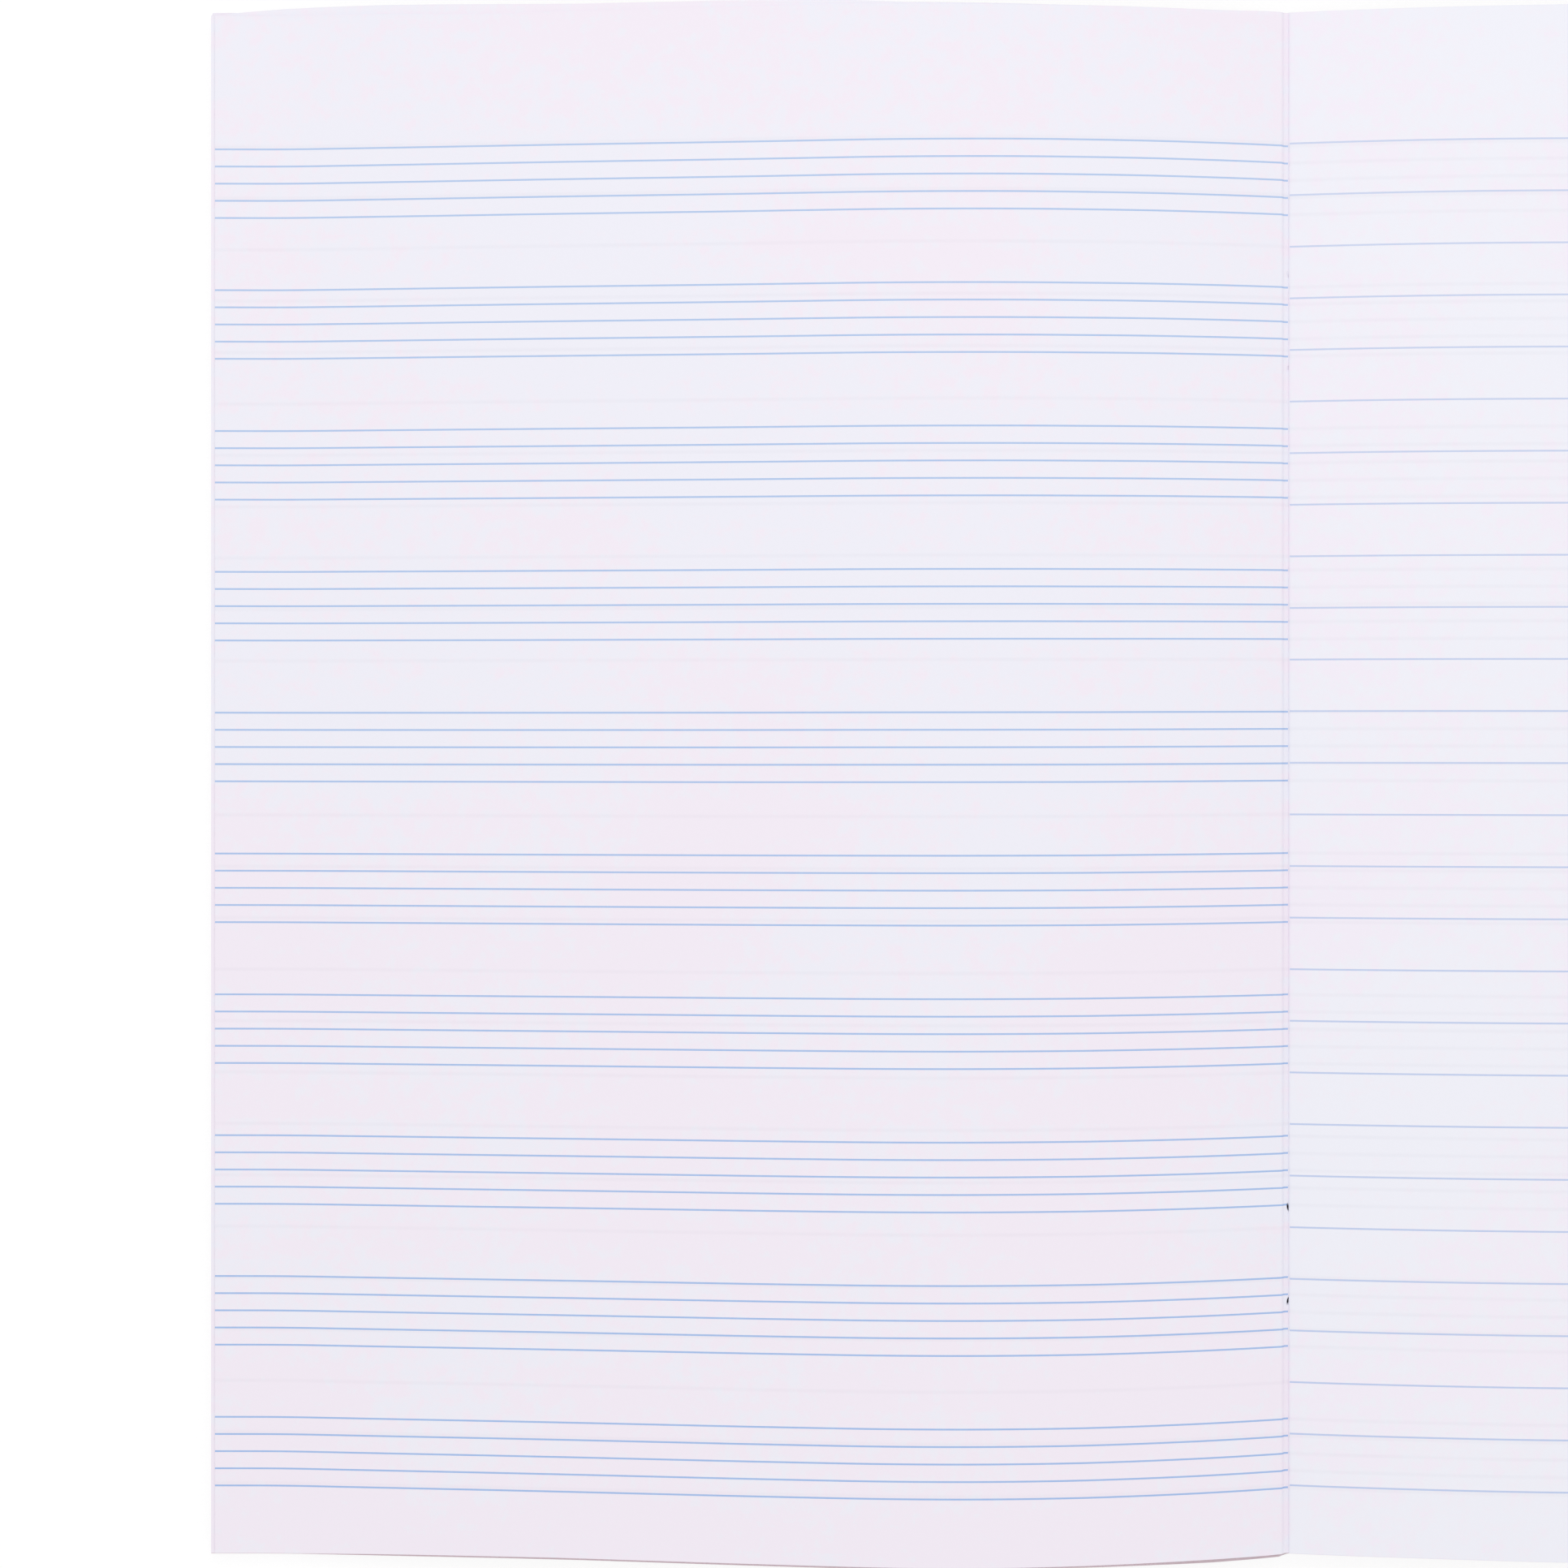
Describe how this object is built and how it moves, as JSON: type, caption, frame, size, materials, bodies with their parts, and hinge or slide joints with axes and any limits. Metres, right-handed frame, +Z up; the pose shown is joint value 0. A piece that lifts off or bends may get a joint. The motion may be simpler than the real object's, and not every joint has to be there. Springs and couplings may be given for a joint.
{
  "type": "music notebook",
  "caption": "Open stapled music notebook: arched halves of sheets with blank staves on the left page and ruled lines on the right, in a plain card cover that folds shut.",
  "frame": {"origin": "on the table under the fold, at the middle of the page height", "axes": "+X across the open spread to the right page's fore-edge, +Y along the fold to the head of the pages, +Z up"},
  "size_m": [0.294, 0.21, 0.0124],
  "materials": {
    "cover_card": "plain matte card",
    "page_paper": "uncoated white writing paper with pale blue ruling",
    "staple_wire": "bright drawn steel wire"
  },
  "bodies": {
    "right_half": {"back_cover": "cover_card", "right_pages": "page_paper", "upper_staple": "staple_wire", "lower_staple": "staple_wire"},
    "left_half": {"front_cover": "cover_card", "left_pages": "page_paper"}
  },
  "joints": [
    {"name": "spine_fold", "type": "hinge", "parent": "right_half", "child": "left_half", "pos_m": [0, 0, 0.0047], "axis": [0, 1, 0], "range_deg": [0, 140]}
  ]
}
